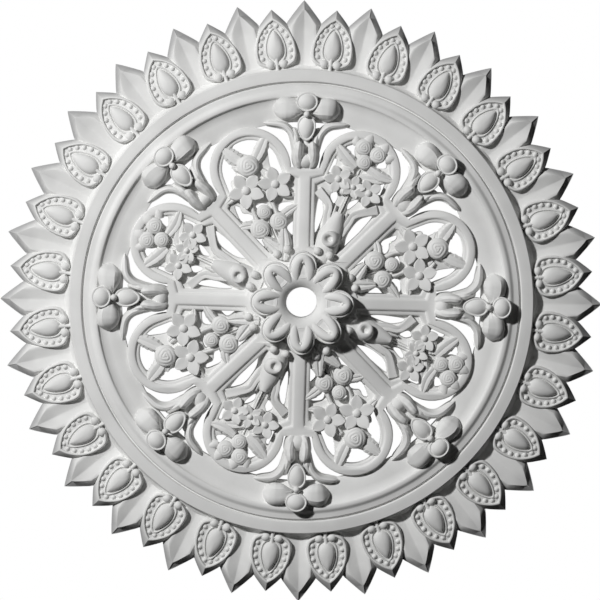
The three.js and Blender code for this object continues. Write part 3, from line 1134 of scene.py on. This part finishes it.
@dataclass(frozen=True)
class Rosette:
    """The petalled centre around the cable hole."""

    body: Pairs = (
        *((54.0, 0.3), (54.0, 60.0), (50.0, 66.0), (42.0, 69.6), (37.0, 70.4)),
        *((32.0, 69.4), (27.5, 66.4), (24.0, 62.4), (22.0, 59.6), (22.0, 0.3)),
    )
    body_steps: int = 96
    petal_centre: Pair = (0.0, 54.0)
    petal_left: Pairs = (
        *((0.0, 73.7), (-7.0, 72.2), (-13.0, 68.0), (-17.4, 61.5)),
        *((-19.4, 54.0), (-18.0, 46.0), (-11.5, 37.5), (0.0, 34.0)),
    )
    petal_top: float = 71.0
    petal_levels: Pairs = (
        *((1.0, -47), (1.0, -4.5), (0.99, -1.8), (0.965, -0.6), (0.93, -0.3)),
        *((0.89, -1.0), (0.85, -1.6), (0.5, -0.4), (0.02, 0)),
    )
    petal_steps: int = 56
    scroll: Pairs = ((-8.8, 32), (-10.2, 42), (-9.6, 51), (-6.4, 60), (0, 64.4))
    scroll_steps: int = 33
    scroll_half: float = 5.2
    scroll_swell: float = 1.2
    scroll_taper: float = 3.0
    scroll_taper_power: float = 5.0
    scroll_top: float = 77.6
    scroll_fall: float = 7.6
    scroll_fall_power: float = 2.6
    scroll_foot: float = 68.0
    bead: Triple = (0, 57.8, 72.0)
    bead_half: Triple = (2.8, 2.8, 3.6)
    filler_root: Triple = (36.0, 2.2, 70.5)
    filler_tip: Triple = (54.0, 3.8, 68.0)
    filler_foot: float = 30.0
    filler_steps: int = 9

    def petal(self) -> Shell:
        """Carves one petal with its hollow, horseshoe ridge and bead.

        Returns:
            The closed shells as one.
        """
        outline = curve(mirrored(self.petal_left)[:-1], self.petal_steps, closed=True)
        rings = []
        for share, drop in self.petal_levels:
            rings.append(raised(scaled(outline, self.petal_centre, share), self.petal_top + drop))
        route = curve(mirrored(self.scroll), self.scroll_steps)
        share = np.abs(np.linspace(-1, 1, self.scroll_steps))
        half = self.scroll_half + self.scroll_swell * np.sin(math.pi * share)
        half -= self.scroll_taper * share**self.scroll_taper_power
        crest = self.scroll_top - self.scroll_fall * share**self.scroll_fall_power
        scroll = ridge(route, half, self.scroll_foot, crest)
        return join([loft(rings), scroll, blob(self.bead, self.bead_half, segments=14, rings=7)])

    def filler(self) -> Shell:
        """Carves the small leaf between two petals."""
        reach, half, crest = np.linspace(self.filler_root, self.filler_tip, self.filler_steps).T
        return ridge(np.column_stack([np.zeros_like(reach), reach]), half, self.filler_foot, crest)

    def carve(self) -> Relief:
        """Carves the rosette.

        Returns:
            The piece.
        """
        relief = Relief("rose_centre", [lathe(self.body, self.body_steps, wrap=True)])
        relief.spread(self.petal(), LOBE_COUNT, TRACERY_TURN)
        relief.spread(self.filler(), LOBE_COUNT, TRACERY_TURN + LOBE_STEP / 2)
        return relief


def feed(tree: Tree, target: bpy.types.Node, inputs: Inputs) -> None:
    """Sets inputs of a node.

    Args:
        tree: The node tree.
        target: The node.
        inputs: For each input a constant, or the output that feeds it.
    """
    for name, value in inputs.items():
        if isinstance(value, Socket):
            tree.links.new(value, target.inputs[name])
        else:
            target.inputs[name].default_value = value


def node(tree: Tree, kind: str, inputs: Inputs | None = None, **settings: object) -> bpy.types.Node:
    """Adds a node.

    Args:
        tree: The node tree.
        kind: Type of the node, without its prefix.
        inputs: For each input a constant, or the output that feeds it.
        settings: Settings of the node, by name.

    Returns:
        The node.
    """
    made = tree.nodes.new("ShaderNode" + kind)
    for name, value in settings.items():
        setattr(made, name, value)
    feed(tree, made, inputs or {})
    return made


def ranged(tree: Tree, value: Socket, source: Pair = (0, 1), target: Pair = (0, 1)) -> Socket:
    """Maps a value from one range to another."""
    ends = {"From Min": source[0], "From Max": source[1], "To Min": target[0], "To Max": target[1]}
    return node(tree, "MapRange", {"Value": value, **ends}).outputs["Result"]


def product(tree: Tree, one: Socket, other: Socket | float) -> Socket:
    """Multiplies a value by another or by a number."""
    return node(tree, "Math", {0: one, 1: other}, operation="MULTIPLY").outputs[0]


@dataclass(frozen=True)
class Grain:
    """A faint grain that both paints share."""

    detail: float = 4.0
    finer: float = 18.0

    def group(self) -> Tree:
        """Makes the node group.

        Returns:
            The group, with a mask for shade and a height for relief.
        """
        group = bpy.data.node_groups.new("fine_grain", "ShaderNodeTree")
        group.interface.new_socket("Scale", in_out="INPUT", socket_type="NodeSocketFloat")
        for name in ("Shade", "Relief"):
            group.interface.new_socket(name, in_out="OUTPUT", socket_type="NodeSocketFloat")
        start, end = group.nodes.new("NodeGroupInput"), group.nodes.new("NodeGroupOutput")
        place = node(group, "TexCoord").outputs["Object"]
        broad = start.outputs["Scale"]
        for name, scale in (("Shade", broad), ("Relief", product(group, broad, self.finer))):
            inputs = {"Vector": place, "Scale": scale, "Detail": self.detail}
            feed(group, end, {name: node(group, "TexNoise", inputs).outputs["Fac"]})
        return group


@dataclass(frozen=True)
class Paint:
    """A matt paint: two colours, the scale of its grain, roughness, shine and unevenness."""

    name: str
    light: Triple
    dark: Triple
    scale: float
    roughness: Pair = (0.62, 0.82)
    shine: float = 0.3
    spread: Pair = (0.35, 0.65)
    bump_strength: float = 0.06
    bump_height: float = 0.0006

    def material(self, group: Tree) -> Material:
        """Makes the material.

        Args:
            group: The node group for the grain.

        Returns:
            The material.
        """
        material = bpy.data.materials.new(self.name)
        material.use_nodes = True
        tree = material.node_tree
        grain = node(tree, "Group", node_tree=group)
        grain.inputs["Scale"].default_value = self.scale
        shade, relief = grain.outputs["Shade"], grain.outputs["Relief"]
        colours = {"Factor": ranged(tree, shade, self.spread), "A": (*self.dark, 1), "B": (*self.light, 1)}
        bump = {"Height": relief, "Strength": self.bump_strength, "Distance": self.bump_height}
        surface = {
            "Base Color": node(tree, "Mix", colours, data_type="RGBA").outputs["Result"],
            "Roughness": ranged(tree, relief, target=self.roughness),
            "Specular IOR Level": self.shine,
            "Normal": node(tree, "Bump", bump).outputs["Normal"],
        }
        feed(tree, tree.nodes["Principled BSDF"], surface)
        return material


@dataclass(frozen=True)
class PaintedWallShade:
    """Painted shade: a darker grey mixed into the colour of the border's walls towards the back, but not on
    the back itself.
    """

    # grey of the painted shade on the walls
    shade_colour: Triple = (0.42, 0.42, 0.42)
    height: Pair = (-0.012, -0.002)
    reach: Pair = (0.385, 0.4)
    facing: Pair = (0.3, 0.8)

    def paint_shade(self, material: Material) -> None:
        """Paints shade onto the border's walls in a painted material: darker towards the back and the outer
        edge, but not on faces that look at the back.

        Args:
            material: The material.
        """
        tree = material.node_tree
        paint = tree.nodes["Principled BSDF"].inputs["Base Color"]
        place = node(tree, "TexCoord").outputs["Object"]
        flat = node(tree, "VectorMath", {0: place, 1: (1, 1, 0)}, operation="MULTIPLY")
        reach = node(tree, "VectorMath", {0: flat.outputs["Vector"]}, operation="LENGTH")
        height = node(tree, "SeparateXYZ", {0: place})
        upward = node(tree, "SeparateXYZ", {0: node(tree, "NewGeometry").outputs["Normal"]})
        low = ranged(tree, height.outputs["Z"], self.height)
        far = ranged(tree, reach.outputs["Value"], self.reach)
        aside = ranged(tree, upward.outputs["Z"], self.facing, (1, 0))
        # mask of the painted shade: near the back, far out, and not facing the back
        share = product(tree, product(tree, low, far), aside)
        colours = {"Factor": share, "A": paint.links[0].from_socket, "B": (*self.shade_colour, 1)}
        tree.links.new(node(tree, "Mix", colours, data_type="RGBA").outputs["Result"], paint)


PRIMER = Paint("white_primer", light=(0.8, 0.8, 0.79), dark=(0.72, 0.72, 0.71), scale=14.0)
FLOOR = Paint("pale_floor", light=(0.62, 0.62, 0.61), dark=(0.59, 0.59, 0.58), scale=0.4)


def quieten(material: Material) -> None:
    """Keeps a surface from throwing light back onto the object.

    Args:
        material: The material.
    """
    tree = material.node_tree
    ray = node(tree, "LightPath").outputs["Is Diffuse Ray"]
    dark = node(tree, "BsdfDiffuse", {"Color": (0, 0, 0, 1)}).outputs[0]
    mix = node(tree, "MixShader", {0: ray, 1: tree.nodes["Principled BSDF"].outputs[0], 2: dark})
    tree.links.new(mix.outputs[0], tree.nodes["Material Output"].inputs["Surface"])


@dataclass(frozen=True)
class Studio:
    """Floor, lights, background and camera."""

    floor_height: float = -6.8
    floor_half: float = 60.0
    lens: float = 250.0
    sensor: float = 36.0
    picture_width: float = 0.8575
    aside: float = 0.08
    above: float = 0.2
    roll: float = math.radians(0.6)
    slide: Pair = (-0.0021, 0.0023)
    key_azimuth: float = math.radians(145)
    key_height: float = math.radians(47)
    key_distance: float = 4.5
    key_size: float = 0.3
    key_power: float = 189.0
    top_strength: float = 3.0
    top_angle: float = math.radians(12)
    top_tilt: float = math.radians(14)
    fill: float = 0.03

    def floor(self, finish: Material) -> None:
        """Lays the floor.

        Args:
            finish: The material.
        """
        half = self.floor_half
        mesh = bpy.data.meshes.new("floor")
        corners = [(-half, -half, 0), (half, -half, 0), (half, half, 0), (-half, half, 0)]
        mesh.from_pydata(corners, [], [(0, 1, 2, 3)])
        mesh.materials.append(finish)
        floor = placed("floor", mesh)
        floor.location = (0, 0, self.floor_height)

    def lights(self) -> None:
        """Hangs the lights: a round one beside the face, and a sun over the back and the floor."""
        data = bpy.data.lights.new("key", "AREA")
        data.shape = "DISK"
        data.size = self.key_size
        data.energy = self.key_power
        flat, down = math.cos(self.key_height), math.sin(self.key_height)
        way = Vector((-flat * math.cos(self.key_azimuth), flat * math.sin(self.key_azimuth), -down))
        key = placed("key", data)
        key.location = way.normalized() * self.key_distance
        key.rotation_mode = "QUATERNION"
        key.rotation_quaternion = way.to_track_quat("Z", "Y")
        sun = bpy.data.lights.new("top", "SUN")
        sun.energy = self.top_strength
        sun.angle = self.top_angle
        placed("top", sun).rotation_euler = (self.top_tilt, self.top_tilt, 0)

    def background(self) -> None:
        """Paints a white background that lights the object only a little."""
        world = bpy.data.worlds.new("studio")
        world.use_nodes = True
        tree = world.node_tree
        tree.nodes.clear()
        ray = node(tree, "LightPath").outputs["Is Camera Ray"]
        light = node(tree, "Background", {"Color": (1, 1, 1, 1), "Strength": self.fill}).outputs[0]
        seen = node(tree, "Background", {"Color": (1, 1, 1, 1)}).outputs[0]
        mix = node(tree, "MixShader", {0: ray, 1: light, 2: seen})
        node(tree, "OutputWorld", {"Surface": mix.outputs[0]})
        bpy.context.scene.world = world
        bpy.context.scene.view_settings.view_transform = "Standard"

    def camera(self) -> None:
        """Sets the camera below the face, looking up at its middle."""
        data = bpy.data.cameras.new("camera")
        data.lens = self.lens
        data.sensor_width = self.sensor
        data.shift_x, data.shift_y = self.slide
        camera = placed("camera", data)
        eye = Vector((self.aside, self.above, -self.picture_width * self.lens / self.sensor))
        back = eye.normalized()
        right = Vector((0, 1, 0)).cross(back).normalized()
        axes = Matrix((right, back.cross(right), back)).transposed().to_4x4()
        camera.matrix_world = Matrix.Translation(eye) @ axes @ Matrix.Rotation(self.roll, 4, "Z")
        bpy.context.scene.camera = camera


def main() -> None:
    """Builds the rose, its finish and the studio."""
    logging.basicConfig(level=logging.INFO, format="%(name)s: %(message)s")
    grain = Grain().group()
    white, pale = PRIMER.material(grain), FLOOR.material(grain)
    # painted shade on the border's walls
    PaintedWallShade().paint_shade(white)
    quieten(pale)
    tracery = Tracery()
    for part in (Border(), Ring(), tracery, FlowerGroups(tracery), SpokeFlowers(), Rosette()):
        part.carve().build(white)
    studio = Studio()
    studio.floor(pale)
    studio.lights()
    studio.background()
    studio.camera()


if __name__ == "__main__":
    main()
